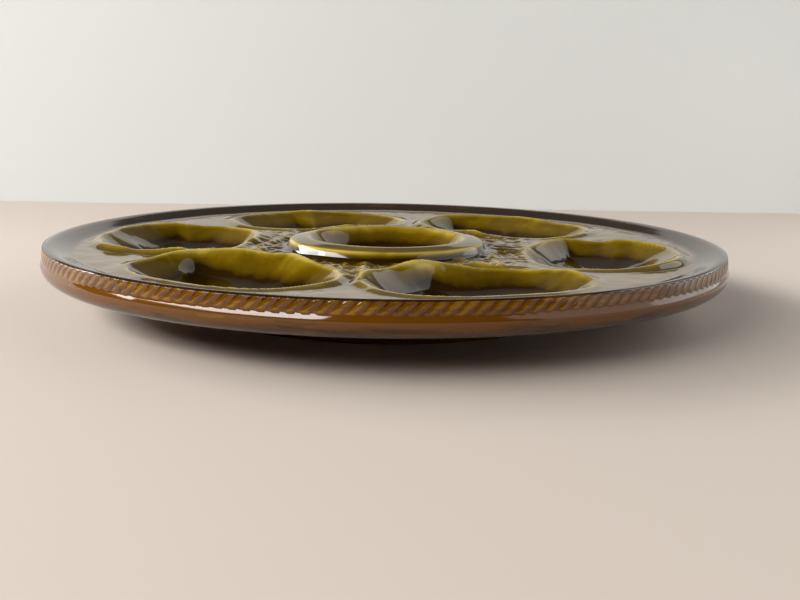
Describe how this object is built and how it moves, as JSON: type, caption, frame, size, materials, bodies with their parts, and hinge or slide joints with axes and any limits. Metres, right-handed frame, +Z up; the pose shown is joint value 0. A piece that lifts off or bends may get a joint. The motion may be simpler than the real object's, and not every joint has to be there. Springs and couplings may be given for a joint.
{
  "type": "oyster plate",
  "caption": "Round glazed serving plate with shell-shaped wells for oysters round a raised sauce cup, inside a rope-edged rim.",
  "frame": {"origin": "centre of the plate on the flat face of its foot ring, where it stands on the table", "axes": "+Z up out of the wells, +X from the centre through the middle of the first well"},
  "size_m": [0.25, 0.25, 0.0259],
  "materials": {
    "glaze": "gloss"
  },
  "bodies": {
    "root": {"plate": "glaze"}
  },
  "joints": []
}
